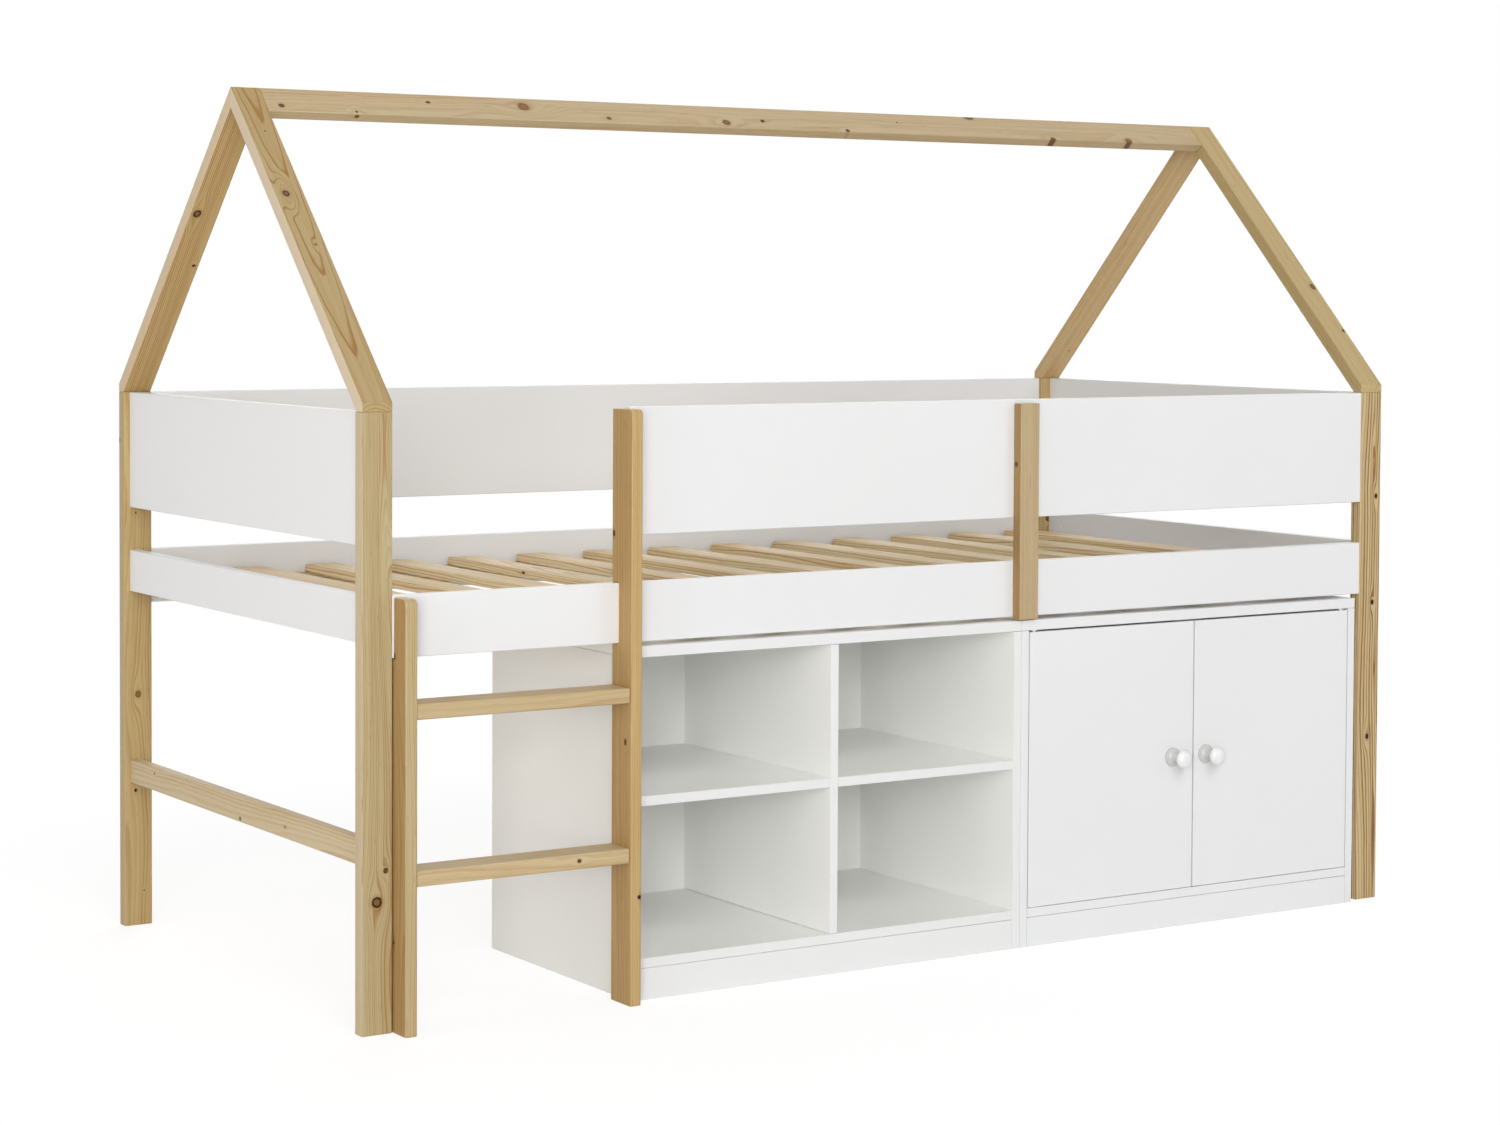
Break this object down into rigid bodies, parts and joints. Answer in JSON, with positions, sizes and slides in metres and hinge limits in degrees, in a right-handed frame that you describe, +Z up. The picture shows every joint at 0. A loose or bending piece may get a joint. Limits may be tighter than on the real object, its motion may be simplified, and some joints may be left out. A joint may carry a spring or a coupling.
{
  "type": "cabin bed",
  "caption": "Mid-height single bed with a house-shaped roof frame, a short ladder and guard boards, over an open shelf unit and a cupboard with hinged doors.",
  "frame": {"origin": "middle of the bounding box on the floor", "axes": "+X along the bed from the ladder end to the cupboard end, +Y from the ladder side to the back, +Z up"},
  "size_m": [2.06, 1.02, 1.437],
  "materials": {
    "pine": "clear matt lacquer on knotty pine",
    "white_board": "white satin paint and melamine on board",
    "knob": "white gloss",
    "steel": "zinc-plated",
    "zinc": "die cast",
    "dowel": "plain beech",
    "plastic": "white moulded"
  },
  "bodies": {
    "bed": {"post_front_left": "pine", "post_front_right": "pine", "post_back_left": "pine", "post_back_right": "pine", "rafter_front_left": "pine", "rafter_front_right": "pine", "rafter_back_left": "pine", "rafter_back_right": "pine", "ridge_beam": "pine", "side_rail_front": "white_board", "side_rail_back": "white_board", "end_rail_left": "white_board", "end_rail_right": "white_board", "guard_board_front": "white_board", "guard_board_back": "white_board", "guard_board_left": "white_board", "guard_board_right": "white_board", "stretcher_left": "pine", "stretcher_right": "pine", "ladder_stile_short": "pine", "ladder_stile_long": "pine", "ladder_rung_lower": "pine", "ladder_rung_upper": "pine", "guard_post": "pine", "slats": "pine", "slat_batten_front": "pine", "slat_batten_back": "pine", "shelf_unit_top": "white_board", "shelf_unit_side_left": "white_board", "shelf_unit_side_right": "white_board", "shelf_unit_bottom": "white_board", "shelf_unit_plinth": "white_board", "shelf_unit_back": "white_board", "shelf_unit_divider": "white_board", "shelf_left": "white_board", "shelf_right": "white_board", "cupboard_top": "white_board", "cupboard_side_left": "white_board", "cupboard_side_right": "white_board", "cupboard_bottom": "white_board", "cupboard_plinth": "white_board", "cupboard_back": "white_board", "cupboard_shelf": "white_board", "pivot_bushes": "plastic", "magnetic_catch": "plastic", "shelf_pins": "steel", "cam_bolts": "steel", "cam_locks": "zinc", "dowels": "dowel", "wood_screws": "steel"},
    "door_left": {"door_left": "white_board", "knob_left": "knob", "knob_screw_left": "steel", "pivot_pins_left": "steel", "strike_plate_left": "steel"},
    "door_right": {"door_right": "white_board", "knob_right": "knob", "knob_screw_right": "steel", "pivot_pins_right": "steel", "strike_plate_right": "steel"}
  },
  "joints": [
    {"name": "door_left_hinge", "type": "hinge", "parent": "bed", "child": "door_left", "pos_m": [0.225, -0.462, 0.3025], "axis": [0, 0, -1], "range_deg": [0, 105]},
    {"name": "door_right_hinge", "type": "hinge", "parent": "bed", "child": "door_right", "pos_m": [0.93, -0.462, 0.3025], "axis": [0, 0, 1], "range_deg": [0, 105]}
  ]
}
